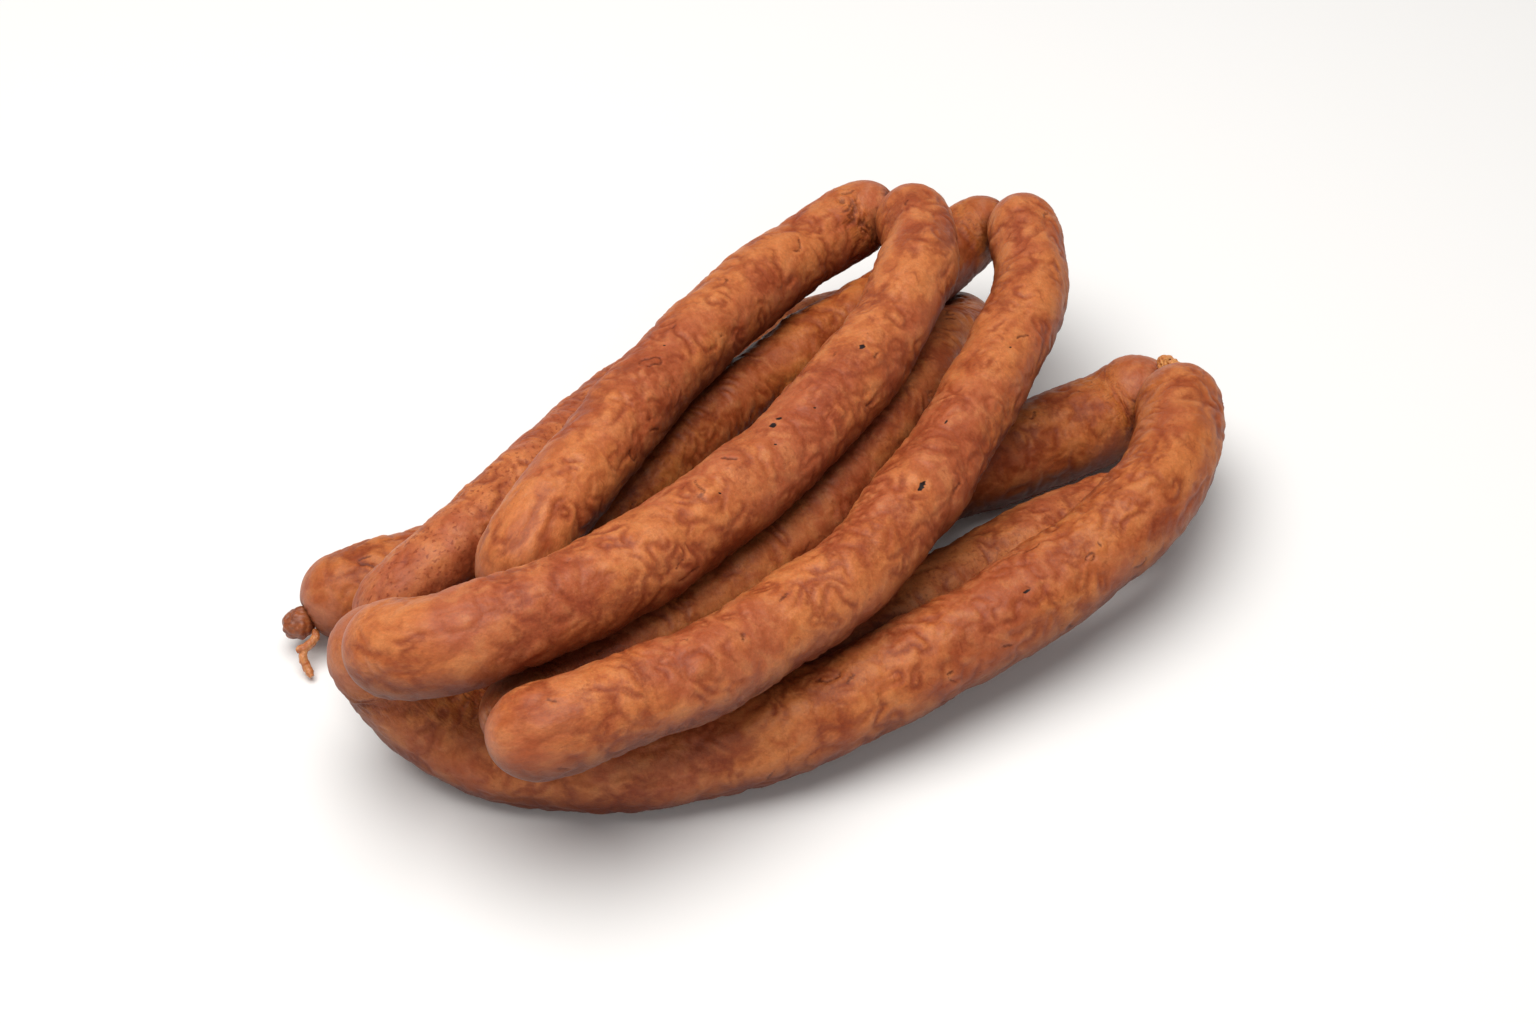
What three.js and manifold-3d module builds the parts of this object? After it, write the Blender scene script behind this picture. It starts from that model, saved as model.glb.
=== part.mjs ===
// A string of nine thin smoked sausages, still joined by the twists of their shared casing,
// heaped over itself in three layers as it was laid down on a table.
// Millimetres, +Z up. The casing tail points to -X, the folded ends to +X, the front of the heap to -Y.
import * as THREE from 'three';
import { mergeVertices } from 'three/addons/utils/BufferGeometryUtils.js';
import Module from 'manifold-3d';

const GIRTH = 26.5;           // thickness of an average link
const PILE_LENGTH = 290;      // from the casing tail to the outermost fold
const TWIST_LENGTH = 4;       // bare twisted casing between two links
const TWIST_THICKNESS = 4.6;
const PIECE_GAP = 0.3;        // air between two pieces that meet end to end
const REST_GAP = 0.8;         // air between two links lying against each other, measured ring to ring
const SAG = 0.9;              // how far a link has settled flat on the table
const DOME_LENGTH = 0.5;      // length of a rounded link end, in link thicknesses
const KNOT_LENGTH = 8.5;      // the tied-off teat at a free end of the string
const KNOT_THICKNESS = 8;
const TAIL_THICKNESS = 2.8;   // loose strip of casing that hangs from the left end
const TUFT_REACH = 5.2;       // frayed casing that stands up out of the right-hand twist
const TUFT_WIDTH = 8.2;
const TUFT_THICKNESS = 2.4;

const SIDES = 12;
const RING_PITCH = 7;         // along a link's body
const DOME_RINGS = 5;
const SETTLE_PASSES = 500;
const SETTLE_GAIN = 0.6;

// Thickness and pile length the lie of the string below is written for.
const LAID_GIRTH = 26.5;
const LAID_LENGTH = 290;

// Each link: its name, its thickness at either end against the average, and the points it is laid through.
const LINKS = [
  { name: 'link_back_low', stout: [1.05, 1.12],
    lie: [[-132, -26, 13], [-105, -15, 14], [-70, -8, 13], [-4, 9, 14], [61, 29, 13], [97, 46, 12],
      [120, 57, 16]] },
  { name: 'link_front_low', stout: [1.03, 1.08],
    lie: [[129, 41, 29], [125, 19, 33], [115, -3, 35], [93, -26, 31], [28, -69, 22], [-6, -83, 18],
      [-45, -89, 15], [-79, -84, 16], [-99, -76, 25], [-110, -70, 40]] },
  { name: 'link_top_middle', stout: [1.04, 0.9],
    lie: [[-106, -83, 56], [-96, -91, 63], [-80, -88, 66], [-49, -71, 66], [0, -21, 64], [34, 33, 66],
      [46, 65, 66], [49, 80, 64], [47, 96, 62]] },
  { name: 'link_top_back', stout: [0.9, 0.95],
    lie: [[31, 110, 53], [0, 75, 55], [-27, 31, 60], [-50, -16, 63], [-63, -41, 62], [-70, -54, 58]] },
  { name: 'link_middle_back', stout: [0.84, 0.86],
    lie: [[-66, -48, 36], [-57, -29, 35], [-42, -10, 39], [-10, 37, 37], [29, 75, 36], [53, 94, 39],
      [72, 115, 43]] },
  { name: 'link_top_front', stout: [0.9, 1],
    lie: [[83, 106, 52], [84, 77, 53], [74, 43, 53], [44, -19, 51], [26, -47, 50], [-2, -74, 50],
      [-33, -97, 52], [-63, -111, 52]] },
  { name: 'link_middle_front', stout: [0.94, 0.94],
    lie: [[-65, -94, 37], [-48, -81, 37], [-26, -62, 38], [13, -18, 39], [42, 33, 41], [54, 68, 34],
      [65, 85, 22]] },
  { name: 'link_middle_left', stout: [0.86, 0.85],
    lie: [[37, 110, 12], [12, 96, 13], [-10, 87, 11], [-33, 71, 17], [-49, 46, 26], [-77, -8, 39],
      [-97, -39, 38], [-114, -51, 29]] },
  { name: 'link_inner_low', stout: [0.93, 0.97],
    lie: [[-103, -51, 15], [-92, -50, 12], [-80, -54, 11], [-47, -61, 11], [-14, -59, 11], [16, -50, 11],
      [68, -13, 13], [92, 3, 13], [102, 10, 12]] },
];

// The twists between neighbouring links, in the same order, and the two free ends of the string.
const TWISTS = [
  { name: 'twist_right_low', at: [128, 56, 28] },
  { name: 'twist_left_front', at: [-112, -77, 54] },
  { name: 'twist_right_back', at: [42, 108, 60] },
  { name: 'twist_left_back', at: [-74, -57, 45] },
  { name: 'twist_right_top', at: [81, 116, 50] },
  { name: 'twist_left_middle', at: [-72, -106, 44] },
  { name: 'twist_right_middle', at: [58, 107, 16] },
  { name: 'twist_left_low', at: [-109, -51, 20] },
];
const FREE_LEFT = [-138, -30, 11];
const FREE_RIGHT = [115, 20, 11];

const { Manifold, Mesh } = await (async () => {
  const wasm = await Module();
  wasm.setup();
  return wasm;
})();

const CASING = { color: 0xb26541, roughness: 0.42, metalness: 0 };
const TWISTED = { color: 0x89482a, roughness: 0.5, metalness: 0 };
const LOOSE = { color: 0xbe7846, roughness: 0.55, metalness: 0 };

const across = GIRTH / LAID_GIRTH;
const along = PILE_LENGTH / LAID_LENGTH;
const laid = ([x, y, z]) => new THREE.Vector3(x * along, y * across, z * across);

// The whole string as one curve, and how far along it each twist lies.
const guide = [laid(FREE_LEFT)];
const twistIndex = [0];
LINKS.forEach((link, i) => {
  link.lie.forEach((p) => guide.push(laid(p)));
  twistIndex.push(guide.length);
  guide.push(laid(i < TWISTS.length ? TWISTS[i].at : FREE_RIGHT));
});
const STEPS_PER_POINT = 24;
const string = new THREE.CatmullRomCurve3(guide, false, 'centripetal');
string.arcLengthDivisions = (guide.length - 1) * STEPS_PER_POINT;
const arcs = string.getLengths();
const twistArc = twistIndex.map((i) => arcs[i * STEPS_PER_POINT]);
const stringLength = arcs[arcs.length - 1];

// Rings of one link: distance from its left or right end, rounded at both ends.
function ringsOf(index) {
  const halfTwist = TWIST_LENGTH / 2 + PIECE_GAP;
  const from = twistArc[index] + (index === 0 ? 0 : halfTwist);
  const to = twistArc[index + 1] - (index === LINKS.length - 1 ? 0 : halfTwist);
  const [stoutA, stoutB] = LINKS[index].stout;
  const radiusAt = (s) => GIRTH / 2 * THREE.MathUtils.lerp(stoutA, stoutB, (s - from) / (to - from));
  const dome = DOME_LENGTH * GIRTH;
  const tip = TWIST_THICKNESS / 2;
  const steps = [];
  for (let k = 0; k < DOME_RINGS; k++) {
    const turn = Math.PI / 2 * k / DOME_RINGS;
    steps.push({ inset: dome * (1 - Math.cos(turn)), swell: Math.sin(turn) });
  }
  const bodyCount = Math.max(2, Math.round((to - from - 2 * dome) / RING_PITCH));
  const rings = steps.map(({ inset, swell }) => ({ arc: from + inset, swell }));
  for (let k = 0; k <= bodyCount; k++) {
    rings.push({ arc: THREE.MathUtils.lerp(from + dome, to - dome, k / bodyCount), swell: 1 });
  }
  steps.reverse().forEach(({ inset, swell }) => rings.push({ arc: to - inset, swell }));
  return rings.map(({ arc, swell }) => {
    const radius = Math.max(tip, Math.hypot(tip * (1 - swell), radiusAt(arc) * swell));
    const reach = Math.min(radius, tip / 2 + Math.min(arc - from, to - arc));
    return { link: index, radius, reach, at: string.getPointAt(arc / stringLength) };
  });
}

// Links are eased apart until none presses into another or into the table. Two links that share a twist
// are measured by how far each rounded end reaches, so that the twist itself doesn't hold them apart.
function settle(rings) {
  const moved = rings.map(() => new THREE.Vector3());
  const start = rings.map((ring) => ring.at.clone());
  const away = new THREE.Vector3();
  for (let pass = 0; pass < SETTLE_PASSES; pass++) {
    const push = rings.map(() => new THREE.Vector3());
    const hits = rings.map(() => 0);
    for (let i = 0; i < rings.length; i++) {
      for (let j = i + 1; j < rings.length; j++) {
        const a = rings[i];
        const b = rings[j];
        if (a.link === b.link) continue;
        const joined = b.link === a.link + 1;
        const room = (joined ? a.reach + b.reach : a.radius + b.radius) + REST_GAP;
        away.subVectors(a.at, b.at);
        const overlap = room - away.length();
        if (overlap <= 0) continue;
        away.setLength(overlap / 2);
        push[i].add(away);
        push[j].sub(away);
        hits[i] += 1;
        hits[j] += 1;
      }
    }
    const smoothing = 0.5 * Math.max(0, 1 - 1.4 * pass / SETTLE_PASSES);
    rings.forEach((ring, i) => {
      if (hits[i] > 0) moved[i].addScaledVector(push[i], SETTLE_GAIN / Math.sqrt(hits[i]));
    });
    const eased = moved.map((m, i) => {
      const before = moved[Math.max(0, i - 1)];
      const after = moved[Math.min(moved.length - 1, i + 1)];
      return m.clone().lerp(before.clone().add(after).multiplyScalar(0.5), smoothing);
    });
    rings.forEach((ring, i) => {
      moved[i].copy(eased[i]);
      ring.at.addVectors(start[i], moved[i]);
      const lowest = ring.radius - Math.min(SAG, ring.radius * SAG / (GIRTH / 2));
      if (ring.at.z < lowest) {
        moved[i].z += lowest - ring.at.z;
        ring.at.z = lowest;
      }
    });
  }
}

// A round bar turned on a straight axis, then bent so that its rings sit on the given stations.
function bentBar(stations, sides = SIDES) {
  const profile = [new THREE.Vector2(0, 0)];
  stations.forEach((s, k) => profile.push(new THREE.Vector2(s.radius, k)));
  profile.push(new THREE.Vector2(0, stations.length - 1));
  const geometry = new THREE.LatheGeometry(profile, sides);
  const frames = framesOf(stations.map((s) => s.at));
  const position = geometry.attributes.position;
  const point = new THREE.Vector3();
  for (let i = 0; i < position.count; i++) {
    const frame = frames[Math.round(position.getY(i))];
    point.copy(frame.at);
    point.addScaledVector(frame.side, position.getX(i));
    point.addScaledVector(frame.up, position.getZ(i));
    position.setXYZ(i, point.x, point.y, point.z);
  }
  return solidOf(geometry);
}

// Directions across the bar at each station, carried along without twisting.
function framesOf(points) {
  const tangents = points.map((p, i) => {
    const before = points[Math.max(0, i - 1)];
    const after = points[Math.min(points.length - 1, i + 1)];
    return after.clone().sub(before).normalize();
  });
  const steepest = Math.abs(tangents[0].z) > 0.9 ? new THREE.Vector3(1, 0, 0) : new THREE.Vector3(0, 0, 1);
  let up = steepest.projectOnPlane(tangents[0]).normalize();
  return points.map((at, i) => {
    up = up.clone().projectOnPlane(tangents[i]).normalize();
    const side = new THREE.Vector3().crossVectors(tangents[i], up);
    return { at, up, side };
  });
}

function solidOf(geometry) {
  const bare = new THREE.BufferGeometry();
  bare.setAttribute('position', geometry.attributes.position);
  bare.setIndex(geometry.index);
  const merged = mergeVertices(bare, 1e-4);
  return new Manifold(new Mesh({
    numProp: 3,
    vertProperties: new Float32Array(merged.attributes.position.array),
    triVerts: new Uint32Array(merged.index.array),
  }));
}

function meshOf(name, solid, look) {
  const { vertProperties, triVerts } = solid.getMesh();
  const geometry = new THREE.BufferGeometry();
  geometry.setAttribute('position', new THREE.BufferAttribute(new Float32Array(vertProperties), 3));
  geometry.setIndex(new THREE.BufferAttribute(new Uint32Array(triVerts), 1));
  geometry.computeVertexNormals();
  const mesh = new THREE.Mesh(geometry, new THREE.MeshStandardMaterial(look));
  mesh.name = name;
  return mesh;
}

// Everything below the table top is taken off, which leaves the flats the heap rests on.
const TABLE_SPAN = 4 * PILE_LENGTH;
const TABLE_DEPTH = 60;
const table = Manifold.cube([TABLE_SPAN, TABLE_SPAN, TABLE_DEPTH], true).translate([0, 0, -TABLE_DEPTH / 2]);

const rings = LINKS.flatMap((link, i) => ringsOf(i));
settle(rings);

const group = new THREE.Group();
const byLink = LINKS.map((link, i) => rings.filter((ring) => ring.link === i));
LINKS.forEach((link, i) => {
  group.add(meshOf(link.name, bentBar(byLink[i]).subtract(table), CASING));
});

// The last ring of a link at one end, and the direction that end points in.
function endOf(stations) {
  const [last, inner] = stations;
  return { at: last.at, outward: last.at.clone().sub(inner.at).normalize() };
}

const leftEnds = byLink.map((stations) => endOf(stations));
const rightEnds = byLink.map((stations) => endOf([...stations].reverse()));
const offEnd = ({ at, outward }, distance) => at.clone().addScaledVector(outward, distance);

// A twist leaves each link square to its end and is thinnest midway.
const TWIST_SHOULDER = 0.5;
const TWIST_WAIST = 0.72;
TWISTS.forEach((twist, i) => {
  const from = rightEnds[i];
  const to = leftEnds[i + 1];
  const thick = TWIST_THICKNESS / 2 * 0.92;
  const middle = offEnd(from, 2 * TWIST_SHOULDER).lerp(offEnd(to, 2 * TWIST_SHOULDER), 0.5);
  const bar = [
    { at: offEnd(from, PIECE_GAP), radius: thick },
    { at: offEnd(from, PIECE_GAP + TWIST_SHOULDER), radius: thick * 0.9 },
    { at: middle, radius: thick * TWIST_WAIST },
    { at: offEnd(to, PIECE_GAP + TWIST_SHOULDER), radius: thick * 0.9 },
    { at: offEnd(to, PIECE_GAP), radius: thick },
  ];
  group.add(meshOf(twist.name, bentBar(bar), TWISTED));
});

// A bar between two points, its profile given as [share of length, share of thickness].
function turnedBetween(from, to, thickness, profile) {
  return bentBar(profile.map(([share, swell]) => ({
    at: from.clone().lerp(to, share), radius: thickness / 2 * swell,
  })));
}

const KNOT_PROFILE = [[0, 0.55], [0.14, 0.84], [0.4, 1], [0.68, 0.92], [0.88, 0.64], [1, 0.3]];
const NUB_SHARE = 0.7;        // the right-hand knot is smaller than the left-hand one
const leftEnd = leftEnds[0];
const knotLeft = turnedBetween(
  offEnd(leftEnd, PIECE_GAP), offEnd(leftEnd, PIECE_GAP + KNOT_LENGTH), KNOT_THICKNESS, KNOT_PROFILE,
);
group.add(meshOf('knot_left', knotLeft.subtract(table), CASING));

const rightEnd = rightEnds[LINKS.length - 1];
const knotRight = turnedBetween(
  offEnd(rightEnd, PIECE_GAP), offEnd(rightEnd, PIECE_GAP + KNOT_LENGTH * NUB_SHARE),
  KNOT_THICKNESS * NUB_SHARE, KNOT_PROFILE,
);
group.add(meshOf('knot_right', knotRight.subtract(table), CASING));

// The casing tail: a strip that leaves the side of the knot and a finger that hangs from it to the table.
// Both are laid through points measured from where the strip meets the knot.
const TAIL_STRIP = [[0, 0, 0], [0.4, -2.4, -0.7], [-1.6, -5.2, -1.5], [-5, -7, -1.9]];
const TAIL_FINGER = [[-2.4, -5.8, -1.7], [-3, -8, -3.6], [-1.8, -10, -5.8], [-0.2, -12.4, -7.4]];
const TAIL_PROFILE = [0.6, 0.9, 1, 1, 1, 1, 0.95, 0.6];
const TAIL_SIDE = new THREE.Vector3(0.86, -0.5, -0.1).normalize();
const tailClearance = (KNOT_THICKNESS + TAIL_THICKNESS * TAIL_PROFILE[0]) / 2 + PIECE_GAP;
const tailRoot = offEnd(leftEnd, PIECE_GAP + KNOT_LENGTH * 0.4).addScaledVector(TAIL_SIDE, tailClearance);
const tailBar = (lie) => {
  const reach = lie.map((p) => new THREE.Vector3(...p).add(tailRoot));
  const curve = new THREE.CatmullRomCurve3(reach, false, 'centripetal');
  const points = curve.getSpacedPoints(TAIL_PROFILE.length - 1);
  return bentBar(points.map((at, k) => ({ at, radius: TAIL_THICKNESS / 2 * TAIL_PROFILE[k] })), SIDES - 2);
};
const tail = tailBar(TAIL_STRIP).add(tailBar(TAIL_FINGER)).subtract(table);
group.add(meshOf('casing_tail', tail, LOOSE));

// The tuft fans out of the crease behind the right-hand twist.
const tuftLow = -TUFT_WIDTH / 5;
const tuftOutline = new THREE.Shape();
tuftOutline.moveTo(tuftLow, 0);
tuftOutline.lineTo(-tuftLow, 0);
tuftOutline.lineTo(TUFT_WIDTH / 2, TUFT_REACH * 0.55);
tuftOutline.quadraticCurveTo(TUFT_WIDTH * 0.3, TUFT_REACH, TUFT_WIDTH * 0.1, TUFT_REACH * 0.75);
tuftOutline.quadraticCurveTo(-TUFT_WIDTH * 0.15, TUFT_REACH * 1.15, -TUFT_WIDTH / 2, TUFT_REACH * 0.8);
const TUFT_CURVE_STEPS = 5;
const fan = new THREE.ExtrudeGeometry(tuftOutline, {
  depth: TUFT_THICKNESS, bevelEnabled: false, curveSegments: TUFT_CURVE_STEPS,
});
fan.translate(0, TWIST_THICKNESS / 2 + PIECE_GAP, -TUFT_THICKNESS / 2);
const wide = leftEnds[1].at.clone().sub(rightEnds[0].at).normalize();
const backAndUp = new THREE.Vector3(0, 0.75, 0.66).projectOnPlane(wide).normalize();
const through = new THREE.Vector3().crossVectors(wide, backAndUp);
const stance = new THREE.Matrix4().makeBasis(wide, backAndUp, through);
stance.setPosition(leftEnds[1].at.clone().lerp(rightEnds[0].at, 0.5));
fan.applyMatrix4(stance);
group.add(meshOf('casing_tuft', solidOf(fan), LOOSE));

// The frame's origin lies under the middle of the heap, on the table.
const box = new THREE.Box3().setFromObject(group);
const middle = box.getCenter(new THREE.Vector3());
group.children.forEach((mesh) => mesh.geometry.translate(-middle.x, -middle.y, 0));

export default group;
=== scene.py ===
"""A heaped string of smoked sausages: wrinkled casing, puckered ends, twists, knots and loose casing.

Every link is rebuilt as a fine skin on the centre line and thickness of its own CAD solid, and is shaped
in straightened-sausage coordinates (along the link, and across it), so the wrinkles follow each bend.
"""
import math
import bpy
import numpy as np
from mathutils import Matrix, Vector


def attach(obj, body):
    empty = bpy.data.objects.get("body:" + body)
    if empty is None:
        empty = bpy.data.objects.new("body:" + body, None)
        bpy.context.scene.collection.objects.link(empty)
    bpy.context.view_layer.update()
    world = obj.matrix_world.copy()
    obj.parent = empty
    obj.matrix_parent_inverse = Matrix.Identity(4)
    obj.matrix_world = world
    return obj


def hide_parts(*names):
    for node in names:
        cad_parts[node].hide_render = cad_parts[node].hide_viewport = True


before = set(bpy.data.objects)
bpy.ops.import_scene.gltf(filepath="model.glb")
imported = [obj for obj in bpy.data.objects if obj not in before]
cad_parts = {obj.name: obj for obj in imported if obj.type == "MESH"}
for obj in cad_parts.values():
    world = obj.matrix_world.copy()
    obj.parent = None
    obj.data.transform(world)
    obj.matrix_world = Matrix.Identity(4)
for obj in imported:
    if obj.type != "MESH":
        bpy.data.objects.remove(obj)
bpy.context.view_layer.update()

MM = 0.001
SKIN_PITCH = 0.62      # mm between neighbouring skin points
SWELL = 0.45                                  # mm that a link fills out past its solid, up to its neighbours
TABLE_EASE = 0.5                              # mm over which the skin rolls off the table


# ---------------------------------------------------------------- noise
def lattice(ix, iy, iz, seed):
    """A scrambled number for each whole-number place, always the same for the same seed."""
    h = ix.astype(np.uint32) * np.uint32(374761393)
    h ^= iy.astype(np.uint32) * np.uint32(668265263)
    h ^= iz.astype(np.uint32) * np.uint32(2246822519)
    h ^= np.uint32((seed * 3266489917) & 0xFFFFFFFF)
    h = (h ^ (h >> np.uint32(15))) * np.uint32(2246822519)
    h = (h ^ (h >> np.uint32(13))) * np.uint32(3266489917)
    return h ^ (h >> np.uint32(16))


def noise(p, seed):
    """Smooth gradient noise of about -1 to 1 at points p, one feature per unit."""
    cell = np.floor(p).astype(np.int64)
    f = p - cell
    w = f * f * f * (f * (f * 6 - 15) + 10)
    total = np.zeros(len(p))
    for dx in (0, 1):
        for dy in (0, 1):
            for dz in (0, 1):
                h = lattice(cell[:, 0] + dx, cell[:, 1] + dy, cell[:, 2] + dz, seed)
                g = np.stack([(h & np.uint32(1023)), (h >> np.uint32(10)) & np.uint32(1023),
                              (h >> np.uint32(20)) & np.uint32(1023)], 1) / 511.5 - 1.0
                d = f - (dx, dy, dz)
                share = ((w[:, 0] if dx else 1 - w[:, 0]) * (w[:, 1] if dy else 1 - w[:, 1])
                         * (w[:, 2] if dz else 1 - w[:, 2]))
                total += share * (g * d).sum(1)
    return total * 1.55


def cloud(p, seed, octaves=3, gain=0.5):
    """Noise with finer, weaker noise added to it."""
    total, size = np.zeros(len(p)), 1.0
    for k in range(octaves):
        total += size * noise(p * 2.0 ** k, seed + 17 * k)
        size *= gain
    return total


def warp(p, seed, reach):
    """Points moved about by up to about reach, so that patterns read from them bend."""
    return p + reach * np.stack([noise(p, seed + k * 101) for k in range(3)], 1)


def cells(p, seed):
    """Distance to the nearest and second-nearest of one scattered point per unit cell."""
    base = np.floor(p).astype(np.int64)
    near = np.full(len(p), 9.0)
    second = near.copy()
    for dx in (-1, 0, 1):
        for dy in (-1, 0, 1):
            for dz in (-1, 0, 1):
                c = base + (dx, dy, dz)
                h = lattice(c[:, 0], c[:, 1], c[:, 2], seed)
                spot = c + np.stack([(h & np.uint32(1023)), (h >> np.uint32(10)) & np.uint32(1023),
                                     (h >> np.uint32(20)) & np.uint32(1023)], 1) / 1023.0
                d = np.linalg.norm(p - spot, axis=1)
                second = np.where(d < near, near, np.minimum(second, d))
                near = np.minimum(near, d)
    return near, second


def smooth(lo, hi, x):
    """0 at lo to 1 at hi with soft ends; hi may be below lo."""
    t = np.clip((x - lo) / (hi - lo), 0, 1)
    return t * t * (3 - 2 * t)


# ---------------------------------------------------------------- the CAD bars
def circle_through(points):
    """Centre and radius of the circle that a ring's points lie on."""
    mid = points.mean(0)
    _, _, axes = np.linalg.svd(points - mid)
    flat = (points - mid) @ axes[:2].T
    fit, *_ = np.linalg.lstsq(np.c_[2 * flat, np.ones(len(flat))], (flat ** 2).sum(1), rcond=None)
    return mid + fit[:2] @ axes[:2], math.sqrt(fit[2] + fit[0] ** 2 + fit[1] ** 2)


def bar_of(node):
    """Ring centres and radii of a CAD bar in mm, from one flat end to the other."""
    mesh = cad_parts[node].data
    co = np.array([v.co[:] for v in mesh.vertices]) / MM
    tris = np.array([list(p.vertices) for p in mesh.polygons])
    _, first, same = np.unique(np.round(co, 3), axis=0, return_index=True, return_inverse=True)
    same = same.reshape(-1)
    co, tris = co[first], same[tris]
    links = [set() for _ in co]
    for a, b, c in tris:
        if len({a, b, c}) == 3:
            links[a] |= {b, c}
            links[b] |= {a, c}
            links[c] |= {a, b}
    sides = 12
    free = co[:, 2] > 0.05
    poles = [i for i in range(len(co)) if len(links[i]) == sides and free[i]]

    def levels(start):
        level = {start: 0}
        edge = [start]
        while edge:
            after = []
            for a in edge:
                for b in links[a]:
                    if free[b] and b not in level:
                        level[b] = level[a] + 1
                        after.append(b)
            edge = after
        return level

    one = max(poles, key=lambda i: max(levels(poles[0]).get(i, 0), 0))
    level = levels(one)
    other = max(poles, key=lambda i: level.get(i, 0))
    count = level[other]
    centres, radii = [], []
    for k in range(1, count):
        ring = co[[i for i, l in level.items() if l == k]]
        if len(ring) < 5:
            continue
        at, r = circle_through(ring)
        centres.append(at)
        radii.append(r)
    return np.array(centres), np.array(radii)


# ---------------------------------------------------------------- the course of a link
def gaussian(values, step, sigma):
    """Smooths along the first axis, keeping the two end values where they are."""
    reach = int(3 * sigma / step)
    reach = min(reach, len(values) - 1)
    kernel = np.exp(-0.5 * (np.arange(-reach, reach + 1) * step / sigma) ** 2)
    kernel /= kernel.sum()
    before = 2 * values[0] - values[reach:0:-1]
    after = 2 * values[-1] - values[-2:-reach - 2:-1]
    padded = np.concatenate([before, values, after])
    flat = padded.reshape(len(padded), -1)
    out = np.stack([np.convolve(flat[:, k], kernel, "valid") for k in range(flat.shape[1])], 1)
    return out.reshape(values.shape)


class Course:
    """A link's smoothed centre line and thickness in mm, with a frame that turns as little as it can."""

    STEP = 0.5          # mm between points of the centre line
    EASE = 3.5          # mm that the centre line is smoothed over
    END_EASE = 8.5      # mm, close to the ends, where a link bends most
    END_REACH = 32.0    # mm from an end that this is felt
    BODY_EASE = 6.0     # mm that the thickness is smoothed over
    BEND_EASE = 4.0     # mm that the bend is smoothed over

    def __init__(self, node):
        centres, radii = bar_of(node)
        run = np.r_[0, np.cumsum(np.linalg.norm(np.diff(centres, axis=0), axis=1))]
        count = int(run[-1] / self.STEP) + 1
        at = np.linspace(0, run[-1], count)
        line = np.stack([np.interp(at, run, centres[:, k]) for k in range(3)], 1)
        eased = gaussian(line, self.STEP, self.END_EASE)
        line = gaussian(line, self.STEP, self.EASE)
        # a link turns more gently close to its ends
        inset = np.minimum(at, run[-1] - at)[:, None]
        line += (eased - line) * np.exp(-(inset / self.END_REACH) ** 2)
        run_line = np.r_[0, np.cumsum(np.linalg.norm(np.diff(line, axis=0), axis=1))]
        self.length = run_line[-1]
        self.at = run_line
        self.line = line
        # the two domes are left out of the body's thickness
        grown = np.diff(radii)
        start = next(k for k in range(2, len(grown)) if grown[k] < 0.35)
        end = next(k for k in range(len(grown) - 3, 0, -1) if grown[k] > -0.35) + 1
        self.domes = (run[start], run[-1] - run[end])
        body = np.interp(at, run[start:end + 1], radii[start:end + 1])
        self.body = gaussian(body, self.STEP, self.BODY_EASE)
        tangent = np.gradient(line, self.at, axis=0)
        tangent /= np.linalg.norm(tangent, axis=1)[:, None]
        self.tangent = tangent
        side = np.zeros_like(tangent)
        first = np.cross(tangent[0], (0, 0, 1))
        side[0] = first / np.linalg.norm(first)
        for k in range(1, len(tangent)):
            turned = side[k - 1] - tangent[k] * (side[k - 1] @ tangent[k])
            side[k] = turned / np.linalg.norm(turned)
        self.side = side
        bend = gaussian(np.gradient(tangent, self.at, axis=0), self.STEP, self.BEND_EASE)
        self.bend = bend

    def sample(self, table, s):
        s = np.asarray(s, float)
        return np.stack([np.interp(s, self.at, table[:, k]) for k in range(table.shape[1])], -1)

    def centre(self, s):
        """Points on the centre line, which runs straight on past both ends."""
        s = np.asarray(s, float)
        past = np.where(s < 0, s, np.where(s > self.length, s - self.length, 0.0))
        ends = np.where((s < 0)[:, None], self.tangent[0], self.tangent[-1])
        return self.sample(self.line, s) + ends * past[:, None]

    def thick(self, s):
        return np.interp(s, self.at, self.body)

    def round_at(self, s):
        """The radius at s with the domes' rounding, for finding how near another link comes."""
        r = self.thick(s)
        for inset, dome in ((s, self.domes[0]), (self.length - s, self.domes[1])):
            t = np.clip(inset / dome, 0, 1)
            r = r * np.sqrt(np.clip(1 - (1 - t) ** 2, 0.0, 1))
        return r


LINKS = [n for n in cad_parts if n.startswith("link_")]
LINKS.sort()
courses = {n: Course(n) for n in LINKS}

BULGE = 1.1         # mm that a link's end swells out towards its neighbour
DIMPLE = 2.4        # mm that the casing is drawn in at the middle of an end
DIMPLE_WIDTH = 3.0  # mm
SPREAD_ROUNDS = 140  # passes that even out rows crowded by a sharp bend
PLEATS = 13         # folds gathered into the twist
PLEAT_TURN = 0.056  # radians that the folds wind round in each mm from the twist

# Dark flecks in the casing: share of the length, turn round the link in degrees from its top side
# towards the front, width in mm, stretch along the link
FLECKS = {
    "link_top_middle": [(0.33, 20, 0.9, 1.5), (0.48, -12, 1.1, 1.3), (0.465, -20, 0.8, 1.6),
                        (0.43, 28, 0.5, 1.0), (0.50, 26, 0.55, 1.0), (0.59, 30, 0.35, 1.0)],
    "link_top_front": [(0.50, 36, 0.75, 3.2), (0.41, -6, 0.5, 1.6), (0.28, 42, 0.4, 1.2)],
    "link_front_low": [(0.35, 30, 0.5, 2.5), (0.80, 10, 0.45, 1.2)],
    "link_top_back": [(0.55, 5, 0.4, 1.2)],
}


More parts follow.
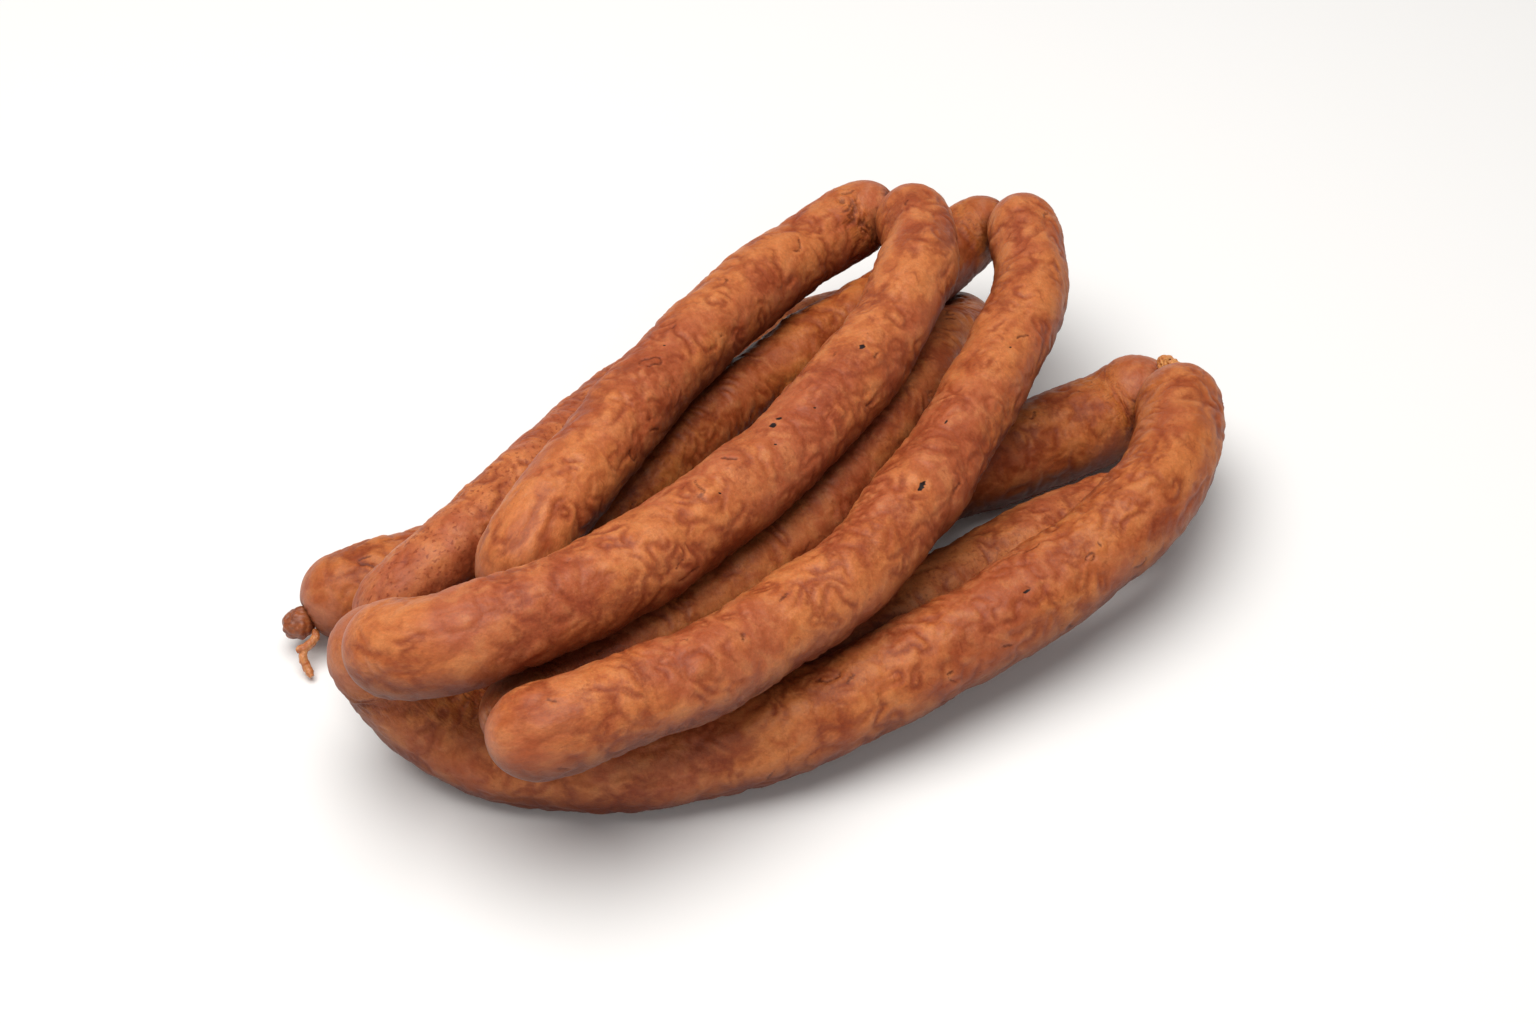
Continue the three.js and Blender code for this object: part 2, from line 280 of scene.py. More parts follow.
def skin_of(node, seed):
    """The fine skin of one link: points, faces, straightened coordinates and colour fields."""
    course = courses[node]
    radius = float(course.thick(course.length / 2))
    around = int(round(2 * math.pi * radius / SKIN_PITCH))

    def dome(inset, mirrored):
        r = float(course.thick(inset if not mirrored else course.length - inset))
        steps = int((inset + r) * 0.8 / SKIN_PITCH)
        phi = np.linspace(0, math.pi / 2, steps + 1)[:-1]
        rho = r * np.sin(phi) ** 0.92
        a = -BULGE + (inset + BULGE) * (1 - np.cos(phi)) + DIMPLE * np.exp(-(rho / DIMPLE_WIDTH) ** 2)
        return (a, rho) if not mirrored else (course.length - a[::-1], rho[::-1])

    head, tail = dome(course.domes[0], False), dome(course.domes[1], True)
    body_len = course.length - course.domes[0] - course.domes[1]
    body_s = np.linspace(course.domes[0], course.length - course.domes[1], int(body_len / SKIN_PITCH))
    s = np.concatenate([head[0], body_s, tail[0]])
    rho = np.concatenate([head[1], course.thick(body_s), tail[1]])
    rho_full = course.thick(np.clip(s, 0, course.length))
    n_rows = len(s)
    theta = np.linspace(0, 2 * math.pi, around, endpoint=False)

    side = course.sample(course.side, s)
    tangent = course.sample(course.tangent, s)
    tangent /= np.linalg.norm(tangent, axis=1)[:, None]
    side -= tangent * (side * tangent).sum(1)[:, None]
    side /= np.linalg.norm(side, axis=1)[:, None]
    other = np.cross(tangent, side)
    spoke = (side[:, None] * np.cos(theta)[None, :, None] + other[:, None] * np.sin(theta)[None, :, None])
    base = course.centre(s)[:, None] + rho[:, None, None] * spoke

    # rows that a sharp bend pushes into each other are spread out again
    bend = course.sample(course.bend, np.clip(s, 0, course.length))
    pinch = (bend[:, None] * spoke).sum(2) * rho_full[:, None]     # + on the inside of a bend
    crowded = 0.5 * smooth(0.35, 0.70, pinch)[1:-1, :, None]
    for _ in range(SPREAD_ROUNDS):
        base[1:-1] += crowded * ((base[:-2] + base[2:]) / 2 - base[1:-1])

    straight = np.stack([np.broadcast_to(s[:, None], (n_rows, around)),
                         rho[:, None] * np.cos(theta)[None], rho[:, None] * np.sin(theta)[None]], 2)
    along = np.gradient(base, axis=0)
    across = (np.roll(base, -1, 1) - np.roll(base, 1, 1)) / 2
    out = np.cross(across, along)
    size = np.linalg.norm(out, axis=2)[:, :, None]
    axial_out = np.where((s < course.length / 2)[:, None], -tangent, tangent)[:, None] + 0 * out
    out = np.where(size > 1e-9, out / np.maximum(size, 1e-9), axial_out)
    if (out[n_rows // 2] * spoke[n_rows // 2]).sum() < 0:
        out = -out
    step_row = np.maximum(np.linalg.norm(along, axis=2), 0.05)
    step_col = np.maximum(np.linalg.norm(across, axis=2), 0.05)

    flat = straight.reshape(-1, 3)

    def grid(values):
        return values.reshape(n_rows, around)

    def line_distance(field, least=0.05):
        """Distance in mm to the lines where a field is zero."""
        rise = np.gradient(field, axis=0) / step_row
        turn = (np.roll(field, -1, 1) - np.roll(field, 1, 1)) / 2 / step_col
        return np.abs(field) / np.sqrt(rise ** 2 + turn ** 2 + least ** 2)

    inset = np.minimum(s, course.length - s)[:, None] + 0 * step_row
    tip_away = np.sqrt(np.maximum(inset, 0) ** 2 + (rho[:, None]) ** 2)
    calm = smooth(2, 15, inset)                               # the ends are tight and smooth

    inner = smooth(0.02, 0.34, pinch)

    flow = flat + 3.4 * np.stack([noise(flat / 13, seed + k) for k in (1, 2, 3)], 1)
    flow = flow + 1.1 * np.stack([noise(flat / 4.5, seed + k) for k in (4, 5, 6)], 1)

    swell = grid(0.85 * noise(flat / 26, seed + 10) + 0.50 * noise(flow / 12, seed + 11))
    where_a = smooth(-0.30, 0.30, grid(noise(flat / 15, seed + 20)))
    where_b = smooth(-0.05, 0.45, grid(noise(flat / 11, seed + 21)))
    where_c = smooth(-0.15, 0.40, grid(noise(flat / 18, seed + 22)))
    worm_a = line_distance(grid(noise(flow / 7.6, seed + 30)))
    worm_b = line_distance(grid(noise(flow / 4.9 + 7.3, seed + 31)))
    near, second = cells(flow / 8.4, seed + 32)
    cell_edge = grid((second - near) * 8.4 / 2)
    veins = np.minimum(worm_a + 2.6 * (1 - where_a), worm_b + 2.8 * (1 - where_b))
    veins = np.minimum(veins, cell_edge + 2.6 * (1 - where_c))
    veins = veins + 2.2 * (1 - calm)
    crack_where = smooth(0.20, 0.62, grid(noise(flat / 9, seed + 35)))
    slant = flow * (0.6, 1, 1)
    cracks = line_distance(grid(noise(slant / 6.5 + 3.1, seed + 36)))
    cracks = cracks + 3.0 * (1 - crack_where) + 1.5 * (1 - calm)

    # long soft folds and fine crinkles gather on the inside of a bend
    pulled = flow * (0.16, 1, 1)
    folds = line_distance(grid(noise(pulled / 3.9, seed + 40)))
    fold_where = inner * smooth(-0.2, 0.4, grid(noise(flat / 20, seed + 41)))
    pulled = (flat + 0.9 * np.stack([noise(flat / 3.0, seed + k) for k in (44, 45, 46)], 1)) * (0.22, 1, 1)
    crinkle = grid(noise(pulled / 1.35, seed + 42))

    height = 1.2 * swell * (0.40 + 0.60 * calm)
    height -= 0.34 * np.exp(-(veins / 2.0) ** 2) + 0.07 * np.exp(-(veins / 0.7) ** 2)
    height += 0.50 * (1 - np.exp(-np.minimum(worm_a, cell_edge) / 2.6)) * calm - 0.25 * calm
    height -= 0.55 * fold_where * calm * np.exp(-(folds / 0.85) ** 2)
    height -= 0.42 * np.exp(-(cracks / 0.42) ** 2)
    height += 0.14 * crinkle * inner * calm
    height += 0.07 * grid(cloud(flow / 2.6, seed + 50, 3)) * (0.3 + 0.7 * calm)

    # pleats run out from the twist at each end
    angle = np.broadcast_to(theta[None], (n_rows, around))
    sway = grid(noise(flat / 4.0, seed + 60))
    gather = np.exp(-(tip_away / 5.4) ** 2) * smooth(0.8, 2.6, rho[:, None] + 0 * tip_away)
    pleat = np.sin(PLEATS * angle + 2.4 * sway + PLEAT_TURN * PLEATS * tip_away)
    height += 0.30 * pleat * gather

    fleck = np.zeros_like(height)
    up = spoke[:, :, 2]
    front = -spoke[:, :, 1]
    for share, turn, width, stretch in FLECKS.get(node, []):
        row = int(np.searchsorted(s, share * course.length))
        want = math.radians(turn)
        aim = up[row] * math.cos(want) + front[row] * math.sin(want)
        col = int(np.argmax(aim))
        d = straight - straight[row, col]
        ragged = 0.28 * grid(noise(flat / 0.8, seed + 71)) * width
        far = np.sqrt((d[:, :, 0] / stretch) ** 2 + d[:, :, 1] ** 2 + d[:, :, 2] ** 2) + ragged
        fleck = np.maximum(fleck, 1 - smooth(0.55 * width, 1.15 * width, far))
        height -= 0.45 * np.exp(-(far / (1.3 * width)) ** 2)

    height += SWELL
    points = base + out * height[:, :, None]

    # neighbours press flats into each other where they touch
    stride = max(1, int(2.4 / SKIN_PITCH))
    r_idx = np.unique(np.r_[np.arange(0, n_rows, stride), n_rows - 1])
    c_idx = np.arange(0, around, stride)
    probe = points[np.ix_(r_idx, c_idx)].reshape(-1, 3)
    gap = np.full(len(probe), 9.0)
    for name, near_course in courses.items():
        if name == node:
            continue
        line = near_course.line[::3]
        span = near_course.at[::3]
        lo, hi = line.min(0) - 20, line.max(0) + 20
        able = np.all((probe > lo) & (probe < hi), 1)
        if not able.any():
            continue
        d2 = ((probe[able][:, None] - line[None]) ** 2).sum(2)
        best = d2.argmin(1)
        room = np.sqrt(d2[np.arange(len(best)), best]) - near_course.round_at(span[best]) - SWELL
        gap[able] = np.minimum(gap[able], room)
    soft = 0.22
    push = soft * np.logaddexp(0, -gap / 2 / soft)

    def spread(values):
        """Fills the whole skin in from the probed points."""
        values = values.reshape(len(r_idx), len(c_idx))
        wrapped = np.c_[values, values[:, :1]]
        cols = np.r_[c_idx, around]
        by_col = np.stack([np.interp(np.arange(around), cols, row) for row in wrapped])
        return np.stack([np.interp(np.arange(n_rows), r_idx, by_col[:, k]) for k in range(around)], 1)

    points -= out * spread(push)[:, :, None]
    # how near another link comes, which sets the painted shade between links
    near_by = spread(np.clip(gap, -1, 9))

    z = points[:, :, 2]
    eased = TABLE_EASE * np.exp(np.minimum(z, TABLE_EASE) / TABLE_EASE - 1)
    points[:, :, 2] = np.where(z < TABLE_EASE, eased, z)

    fields = {
        "veins": veins,
        "inner": inner * calm,
        "calm": calm,
        "fleck": fleck,
        "folds": np.minimum(folds, 4) + 4 * (1 - fold_where),
        "tip": tip_away,
        "cracks": cracks,
        "near": near_by,
        # how far a face turns down, which sets the painted shade below
        "painted_shade_below": smooth(0.42, -0.45, out[:, :, 2]),
    }
    return points, straight, fields


def mesh_of(name, points, straight, fields):
    """A closed tube mesh from rows of points; the first and last row each close on one point."""
    n_rows, around = points.shape[:2]
    body = points[1:-1].reshape(-1, 3)
    ends = np.stack([points[0].mean(0), points[-1].mean(0)])
    co = np.r_[body, ends] * MM
    rows = n_rows - 2
    index = np.arange(rows * around).reshape(rows, around)
    right = np.roll(index, -1, 1)
    quads = np.stack([index[:-1], right[:-1], right[1:], index[1:]], 2).reshape(-1, 4)
    first, last = rows * around, rows * around + 1
    fan_a = np.stack([np.full(around, first), right[0], index[0]], 1)
    fan_b = np.stack([np.full(around, last), index[-1], right[-1]], 1)
    faces = [tuple(f) for f in quads.tolist()] + [tuple(f) for f in fan_a.tolist() + fan_b.tolist()]
    mesh = bpy.data.meshes.new(name)
    mesh.from_pydata(co.tolist(), [], faces)
    vol = (np.cross(co[quads[:, 1]], co[quads[:, 2]]) * co[quads[:, 0]]).sum()
    if vol < 0:
        mesh.flip_normals()
    mesh.polygons.foreach_set("use_smooth", np.ones(len(faces), bool))

    def per_point(values):
        inner_rows = values[1:-1].reshape(rows * around, -1)
        caps = np.stack([values[0].reshape(around, -1).mean(0), values[-1].reshape(around, -1).mean(0)])
        return np.r_[inner_rows, caps]

    layer = mesh.attributes.new("straight", "FLOAT_VECTOR", "POINT")
    layer.data.foreach_set("vector", per_point(straight).astype(np.float32).ravel())
    for key, values in fields.items():
        layer = mesh.attributes.new(key, "FLOAT", "POINT")
        layer.data.foreach_set("value", per_point(values[:, :, None]).astype(np.float32).ravel())
    mesh.update()
    piece = bpy.data.objects.new(name, mesh)
    bpy.context.scene.collection.objects.link(piece)
    return piece


# ---------------------------------------------------------------- materials
def srgb(r, g, b):
    """A colour given from 0 to 255, as the linear colour that shaders take."""
    linear = (c / 255 / 12.92 if c <= 10 else ((c / 255 + 0.055) / 1.055) ** 2.4 for c in (r, g, b))
    return tuple(linear) + (1,)


class Shade:
    """Short names for building a node material."""

    def __init__(self, name):
        self.material = bpy.data.materials.new(name)
        self.material.use_nodes = True
        self.tree = self.material.node_tree
        self.skin = self.tree.nodes["Principled BSDF"]

    def link(self, value, socket):
        if isinstance(value, bpy.types.NodeSocket):
            self.tree.links.new(value, socket)
        else:
            socket.default_value = value

    def field(self, name, output="Fac"):
        node = self.tree.nodes.new("ShaderNodeAttribute")
        node.attribute_name = name
        return node.outputs[output]

    def math(self, operation, a, b=0.0, clamp=False):
        node = self.tree.nodes.new("ShaderNodeMath")
        node.operation = operation
        node.use_clamp = clamp
        self.link(a, node.inputs[0])
        self.link(b, node.inputs[1])
        return node.outputs[0]

    def noise(self, where, scale, detail=3.0, rough=0.55, bend=0.0):
        node = self.tree.nodes.new("ShaderNodeTexNoise")
        self.link(where, node.inputs["Vector"])
        node.inputs["Scale"].default_value = scale
        node.inputs["Detail"].default_value = detail
        node.inputs["Roughness"].default_value = rough
        node.inputs["Distortion"].default_value = bend
        return node.outputs["Fac"]

    def stretch(self, where, scale):
        node = self.tree.nodes.new("ShaderNodeMapping")
        self.link(where, node.inputs["Vector"])
        node.inputs["Scale"].default_value = scale
        return node.outputs["Vector"]

    def ramp(self, value, lo, hi, to_lo=0.0, to_hi=1.0):
        node = self.tree.nodes.new("ShaderNodeMapRange")
        node.interpolation_type = "SMOOTHSTEP"
        self.link(value, node.inputs["Value"])
        for key, number in (("From Min", lo), ("From Max", hi), ("To Min", to_lo), ("To Max", to_hi)):
            node.inputs[key].default_value = number
        return node.outputs["Result"]

    def mix(self, share, a, b, how="MIX"):
        node = self.tree.nodes.new("ShaderNodeMix")
        node.data_type = "RGBA"
        node.blend_type = how
        self.link(share, node.inputs[0])
        self.link(a, node.inputs[6])
        self.link(b, node.inputs[7])
        return node.outputs[2]

    def bump(self, height, strength, distance, onto=None):
        node = self.tree.nodes.new("ShaderNodeBump")
        node.inputs["Strength"].default_value = strength
        node.inputs["Distance"].default_value = distance
        self.link(height, node.inputs["Height"])
        if onto is not None:
            self.link(onto, node.inputs["Normal"])
        return node.outputs["Normal"]


TAN = srgb(200, 118, 66)
YELLOW_TAN = srgb(190, 108, 50)
ROSY = srgb(176, 94, 60)
RED_BROWN = srgb(158, 72, 36)
VEIN = srgb(130, 52, 25)
DEEP = srgb(92, 36, 17)
# the dark brown of painted shade, between touching links and on faces turned down
PAINTED_SHADE_BROWN = srgb(78, 26, 11)
BLACK = srgb(30, 13, 12)
GREY_PINK = srgb(194, 130, 102)
PALE = srgb(212, 138, 86)


def smoked_casing(name, smoke, speckle):
    """Smoked skin: tan and rosy, with reddish veins in the creases and dark flecks.

    smoke deepens the colour; faces turned down to the table are darker with painted shade, as is casing
    close to another link.

    speckle is how strongly small red-brown spots show."""
    m = Shade(name)
    where = m.field("straight", "Vector")
    veins, inner = m.field("veins"), m.field("inner")
    calm, fleck = m.field("calm"), m.field("fleck")
    folds, tip = m.field("folds"), m.field("tip")
    cracks, near = m.field("cracks"), m.field("near")

    broad = m.noise(where, 0.045, 2.0)
    patches = m.noise(where, 0.11, 3.0, bend=0.6)
    blotches = m.noise(where, 0.30, 4.0, 0.6, bend=0.8)
    fine = m.noise(where, 1.1, 4.0, 0.65)
    grain = m.noise(where, 3.2, 3.0, 0.6)
    threads = m.noise(m.stretch(where, (0.22, 1.0, 1.0)), 1.5, 3.0, 0.6, bend=0.4)

    rosy = m.ramp(broad, 0.42, 0.66)
    ends = m.ramp(calm, 0.0, 0.9, 0.8, 0.0)
    colour = m.mix(m.math("MAXIMUM", m.math("MULTIPLY", rosy, 0.85), ends), TAN, ROSY)
    yellow = m.math("MULTIPLY", inner, m.ramp(patches, 0.3, 0.7, 0.45, 1.0), True)
    colour = m.mix(m.math("MULTIPLY", yellow, 0.85), colour, YELLOW_TAN)

    clouds = m.noise(where, 0.19, 2.0, 0.45, bend=0.5)
    colour = m.mix(m.ramp(clouds, 0.50, 0.34, 0.0, 0.36), colour, PALE)
    colour = m.mix(m.ramp(clouds, 0.49, 0.66, 0.0, 0.46), colour, RED_BROWN)

    uneven = m.math("MULTIPLY", m.math("SUBTRACT", fine, 0.5), 1.5)
    crease = m.math("ADD", veins, uneven)
    smeared = m.math("MULTIPLY", m.math("SUBTRACT", blotches, 0.5), 4.0)
    halo = m.ramp(m.math("ADD", crease, smeared), -0.6, 3.6, 1.0, 0.0)
    colour = m.mix(m.math("MULTIPLY", halo, 0.60), colour, RED_BROWN)
    core = m.ramp(m.math("ADD", crease, m.math("MULTIPLY", smeared, 0.6)), -0.8, 2.1, 1.0, 0.0)
    broken = m.ramp(patches, 0.32, 0.62, 0.28, 0.78)
    colour = m.mix(m.math("MULTIPLY", core, broken), colour, VEIN)
    split = m.ramp(m.math("ADD", cracks, m.math("MULTIPLY", uneven, 0.7)), 0.05, 0.75, 1.0, 0.0)
    colour = m.mix(m.math("MULTIPLY", split, 0.75), colour, DEEP)
    spots = m.math("MULTIPLY", m.ramp(blotches, 0.60, 0.74), m.ramp(calm, 0.1, 0.9))
    colour = m.mix(m.math("MULTIPLY", spots, 0.5), colour, VEIN)
    dots = m.noise(where, 0.8, 2.0, 0.5)
    colour = m.mix(m.math("MULTIPLY", m.ramp(dots, 0.56, 0.68), 0.7 * speckle), colour, VEIN)
    # grey-pink patches on the smooth ends: partly the casing's own paler colour, partly a painted sheen
    pale_end_and_painted_sheen = m.math("MULTIPLY", ends, m.ramp(patches, 0.42, 0.60))
    colour = m.mix(m.math("MULTIPLY", pale_end_and_painted_sheen, 0.5), colour, GREY_PINK)
    fold_line = m.ramp(m.math("ADD", folds, uneven), 0.1, 1.3, 1.0, 0.0)
    colour = m.mix(m.math("MULTIPLY", fold_line, 0.65), colour, DEEP)
    thread_line = m.math("MULTIPLY", m.ramp(threads, 0.36, 0.46, 1.0, 0.0), inner)
    colour = m.mix(m.math("MULTIPLY", thread_line, 0.35), colour, DEEP)
    drawn_in = m.ramp(tip, 1.5, 6.5, 1.0, 0.0)
    colour = m.mix(m.math("MULTIPLY", drawn_in, 0.8), colour, DEEP)
    # painted shade: the casing is darkened where another link comes close, standing in for the shadow
    # between links
    painted_crevice_shade = m.ramp(m.math("ADD", near, uneven), 0.0, 6.5, 1.0, 0.0)
    colour = m.mix(m.math("MULTIPLY", painted_crevice_shade, 0.72), colour, PAINTED_SHADE_BROWN)
    # painted shade: faces turned down to the table are darkened
    colour = m.mix(m.math("MULTIPLY", m.field("painted_shade_below"), 0.80), colour, PAINTED_SHADE_BROWN)
    speckled = m.math("ADD", m.math("MULTIPLY", fine, 0.6), m.math("MULTIPLY", grain, 0.4))
    mottled = m.ramp(speckled, 0.3, 0.7, 0.86, 1.12)
    toned = m.tree.nodes.new("ShaderNodeHueSaturation")
    m.link(colour, toned.inputs["Color"])
    m.link(m.math("MULTIPLY", mottled, 1.0 - 0.26 * smoke), toned.inputs["Value"])
    toned.inputs["Saturation"].default_value = 1.0 + 0.05 * smoke
    burnt = m.ramp(m.math("ADD", fleck, m.math("MULTIPLY", m.math("SUBTRACT", fine, 0.5), 0.5)), 0.25, 0.6)
    colour = m.mix(burnt, toned.outputs["Color"], BLACK)
    m.link(colour, m.skin.inputs["Base Color"])

    dulled = m.math("ADD", m.math("MULTIPLY", fine, 0.5), m.math("MULTIPLY", patches, 0.5))
    rough = m.ramp(dulled, 0.35, 0.65, 0.45, 0.60)
    m.link(m.math("SUBTRACT", rough, m.math("MULTIPLY", ends, 0.06)), m.skin.inputs["Roughness"])
    lumps = m.bump(m.noise(where, 0.75, 3.0, 0.55, bend=0.5), 0.30, 0.0008)
    lined = m.bump(m.math("MULTIPLY", threads, inner), 0.5, 0.0008, lumps)
    m.link(m.bump(grain, 0.16, 0.0004, lined), m.skin.inputs["Normal"])
    m.skin.inputs["Subsurface Weight"].default_value = 0.14
    m.skin.inputs["Subsurface Radius"].default_value = (1.0, 0.35, 0.18)
    m.skin.inputs["Subsurface Scale"].default_value = 0.0025
    m.skin.inputs["Specular IOR Level"].default_value = 0.26
    m.skin.inputs["Coat Weight"].default_value = 0.04
    m.skin.inputs["Coat Roughness"].default_value = 0.30
    return m.material


def bare_casing(name, light, dark, scale, gloss):
    """Dried casing with no meat in it: thin, waxy, darker in its folds."""
    m = Shade(name)
    where = m.tree.nodes.new("ShaderNodeTexCoord").outputs["Object"]
    cloudy = m.noise(where, scale, 4.0, 0.6, bend=0.7)
    fine = m.noise(where, scale * 5, 3.0, 0.6)
    colour = m.mix(m.ramp(cloudy, 0.36, 0.64), dark, light)
    colour = m.mix(m.ramp(fine, 0.35, 0.7, 0.0, 0.35), colour, dark)
    m.link(colour, m.skin.inputs["Base Color"])
    m.link(m.ramp(fine, 0.3, 0.7, gloss, gloss + 0.14), m.skin.inputs["Roughness"])
    m.link(m.bump(fine, 0.35, 0.0004, m.bump(cloudy, 0.4, 0.0008)), m.skin.inputs["Normal"])
    m.skin.inputs["Subsurface Weight"].default_value = 0.2
    m.skin.inputs["Subsurface Radius"].default_value = (1.0, 0.4, 0.2)
    m.skin.inputs["Subsurface Scale"].default_value = 0.0015
    return m.material


# ---------------------------------------------------------------- the pieces
def place(piece, node, material):
    piece.data.materials.append(material)
    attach(piece, "root")
    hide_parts(node)


# How deeply each link has taken the smoke
SMOKE = {
    "link_back_low": 0.4, "link_front_low": 0.3, "link_inner_low": 0.1, "link_middle_back": 0.6,
    "link_middle_front": 0.3, "link_middle_left": 0.0, "link_top_back": 0.1, "link_top_front": 0.1,
    "link_top_middle": 0.05,
}
# How strongly small red-brown spots show on the links that have many
SPECKLE = {"link_middle_left": 1.0, "link_inner_low": 0.6}
FEW_SPECKLES = 0.15
for number, node in enumerate(LINKS):
    points, straight, fields = skin_of(node, 1000 * number + 37)
    piece = mesh_of("skin_" + node[5:], points, straight, fields)
    material = smoked_casing("smoked_" + node[5:], SMOKE[node], SPECKLE.get(node, FEW_SPECKLES))
    place(piece, node, material)


def twist_skin(node, seed):
    """A twisted neck: helical pleats, flaring into the dimple of the link at each end."""
    centres, radii = bar_of(node)
    run = np.r_[0, np.cumsum(np.linalg.norm(np.diff(centres, axis=0), axis=1))]
    into = 1.9
    at = np.linspace(-into, run[-1] + into, 60)
    start = centres[1] - centres[0]
    end = centres[-1] - centres[-2]
    centre = np.stack([np.interp(at, run, centres[:, k]) for k in range(3)], 1)
    past = np.where(at < 0, at, 0)[:, None] * start / np.linalg.norm(start)
    past = past + np.where(at > run[-1], at - run[-1], 0)[:, None] * end / np.linalg.norm(end)
    centre = gaussian(centre + past, at[1] - at[0], 0.6)
    tangent = np.gradient(centre, axis=0)
    tangent /= np.linalg.norm(tangent, axis=1)[:, None]
    side = np.cross(tangent, (0.31, 0.2, 0.93))
    side /= np.linalg.norm(side, axis=1)[:, None]
    other = np.cross(tangent, side)
    theta = np.linspace(0, 2 * math.pi, 72, endpoint=False)
    spoke = side[:, None] * np.cos(theta)[None, :, None] + other[:, None] * np.sin(theta)[None, :, None]
    middle = abs(at - run[-1] / 2) / (run[-1] / 2 + into)
    thick = 1.35 + 1.7 * np.clip(middle, 0, 1) ** 3
    close = np.sqrt(np.clip(1 - np.clip((middle - 0.86) / 0.14, 0, 1) ** 2, 0, 1))
    wound = 6 * theta[None] + at[:, None] * 1.7
    flat = np.stack([at[:, None] + 0 * wound, 2 * np.cos(theta)[None] + 0 * wound,
                     2 * np.sin(theta)[None] + 0 * wound], 2)
    rough = noise(flat.reshape(-1, 3) / 1.4, seed).reshape(wound.shape)
    radius = (thick[:, None] + 0.22 * np.sin(wound + rough) + 0.10 * rough) * close[:, None]
    points = centre[:, None] + spoke * radius[:, :, None]
    return points, flat


twist_material = bare_casing("twisted_neck", srgb(140, 76, 44), srgb(84, 36, 20), 420, 0.42)
for number, node in enumerate(sorted(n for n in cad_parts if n.startswith("twist_"))):
    points, flat = twist_skin(node, 61 + 7 * number)
    piece = mesh_of("neck_" + node[6:], points, flat, {})
    place(piece, node, twist_material)


def moulded(name, node, voxel, seed, amount, size, swell):
    """A fine crumpled copy of a small CAD solid."""
    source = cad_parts[node]
    mesh = source.data.copy()
    copy = bpy.data.objects.new(name, mesh)
    bpy.context.scene.collection.objects.link(copy)
    weld = copy.modifiers.new("weld", "WELD")
    weld.merge_threshold = 1e-6
    grid_mod = copy.modifiers.new("grid", "REMESH")
    grid_mod.mode = "VOXEL"
    grid_mod.voxel_size = voxel * MM
    ease = copy.modifiers.new("ease", "SMOOTH")
    ease.factor = 0.5
    ease.iterations = 5
    made = bpy.data.meshes.new_from_object(copy.evaluated_get(bpy.context.evaluated_depsgraph_get()))
    copy.modifiers.clear()
    copy.data = made
    made.name = name
    made.materials.clear()
    co = np.array([v.co[:] for v in made.vertices]) / MM
    normal = np.array([v.normal[:] for v in made.vertices])
    lumps = noise(warp(co / size, seed, 0.3), seed + 1) + 0.5 * noise(co / (0.45 * size), seed + 2)
    co = co + normal * (swell + amount * lumps)[:, None]
    made.vertices.foreach_set("co", (co * MM).astype(np.float32).ravel())
    made.polygons.foreach_set("use_smooth", np.ones(len(made.polygons), bool))
    made.update()
    return copy


coarse = 1.0
knot_material = bare_casing("knotted_casing", srgb(164, 90, 48), srgb(112, 54, 28), 230, 0.38)
loose_material = bare_casing("loose_casing", srgb(214, 148, 94), srgb(176, 100, 52), 300, 0.36)
tuft_material = bare_casing("frilled_casing", srgb(226, 160, 92), srgb(196, 122, 66), 420, 0.40)
for node, slot, material, voxel, amount, size, swell in (
        ("knot_left", "twisted_casing", knot_material, 0.20, 0.75, 3.6, 0.9),
        ("knot_right", "twisted_casing", knot_material, 0.20, 0.30, 2.4, 0.0),
        ("casing_tail", "loose_casing", loose_material, 0.16, 0.22, 1.7, 0.0),
        ("casing_tuft", "loose_casing", tuft_material, 0.16, 0.42, 1.5, 0.8)):
    piece = moulded(node + "_skin", node, voxel * coarse, 900 + len(node), amount, size, swell)
    place(piece, node, material)


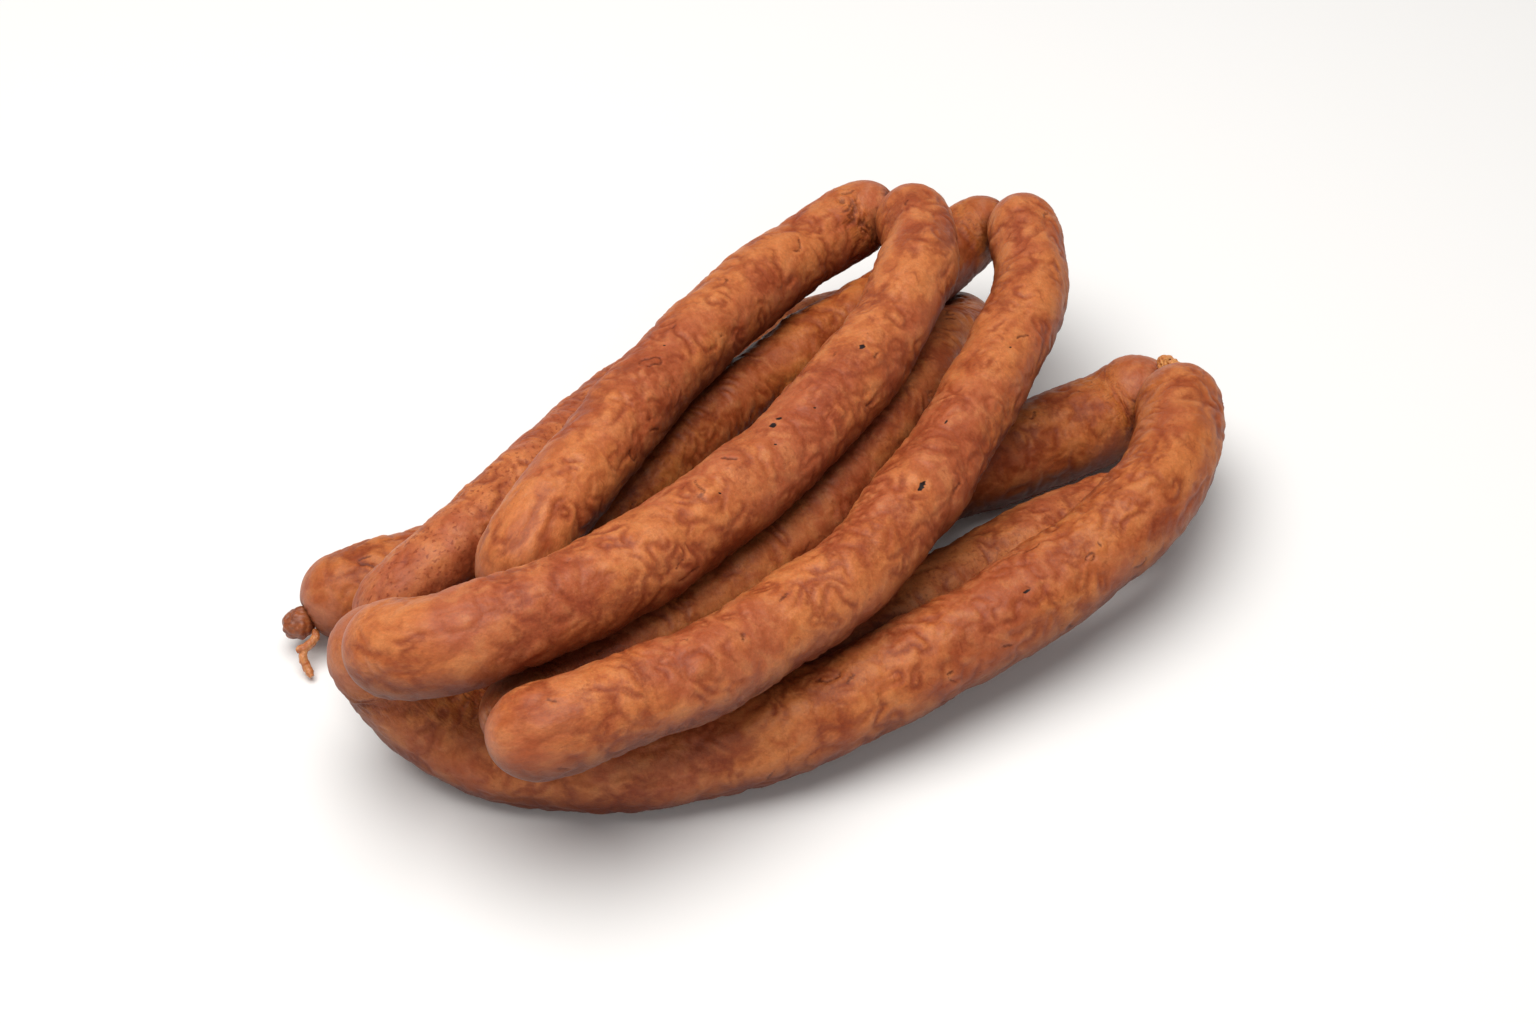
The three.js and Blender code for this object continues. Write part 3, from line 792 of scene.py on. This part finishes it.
# ---------------------------------------------------------------- floor, light and camera
def stage_floor():
    mesh = bpy.data.meshes.new("floor")
    half = 3.0     # metres from the middle to each edge
    corners = [(-half, -half, 0), (half, -half, 0), (half, half, 0), (-half, half, 0)]
    mesh.from_pydata(corners, [], [(0, 1, 2, 3)])
    floor = bpy.data.objects.new("floor", mesh)
    bpy.context.scene.collection.objects.link(floor)
    m = Shade("pale_floor")
    m.skin.inputs["Base Color"].default_value = (0.91, 0.91, 0.91, 1)
    m.skin.inputs["Roughness"].default_value = 0.9
    m.skin.inputs["Specular IOR Level"].default_value = 0.1
    floor.data.materials.append(m.material)


def area_light(name, at, aim, size, power, colour):
    data = bpy.data.lights.new(name, "AREA")
    data.shape = "DISK"
    data.size = size
    data.energy = power
    data.color = colour
    lamp = bpy.data.objects.new(name, data)
    lamp.location = at
    lamp.rotation_euler = (Vector(aim) - Vector(at)).to_track_quat("-Z", "Y").to_euler()
    bpy.context.scene.collection.objects.link(lamp)


HEAP_MIDDLE = (0, 0, 0.03)
stage_floor()
area_light("key", (-0.20, -0.04, 1.30), HEAP_MIDDLE, 1.30, 21.0, (1.0, 0.975, 0.94))
area_light("front", (0.2, -1.5, 1.1), HEAP_MIDDLE, 1.2, 4.4, (1.0, 0.98, 0.96))
world = bpy.data.worlds.new("studio")
world.use_nodes = True
world.node_tree.nodes["Background"].inputs["Color"].default_value = (1, 1, 1, 1)
world.node_tree.nodes["Background"].inputs["Strength"].default_value = 0.18
bpy.context.scene.world = world

CAMERA_FAR = 0.760
CAMERA_RISE = math.radians(45)
camera_data = bpy.data.cameras.new("camera")
camera_data.sensor_width = 36
camera_data.lens = 58.07
camera = bpy.data.objects.new("camera", camera_data)
aim = Vector((0.0006, -0.00059, 0.025))
camera.location = aim + CAMERA_FAR * Vector((0, -math.cos(CAMERA_RISE), math.sin(CAMERA_RISE)))
camera.rotation_euler = (aim - camera.location).to_track_quat("-Z", "Y").to_euler()
bpy.context.scene.collection.objects.link(camera)
bpy.context.scene.camera = camera

scene = bpy.context.scene
scene.view_settings.view_transform = "Standard"
scene.view_settings.look = "None"
scene.cycles.use_denoising = True
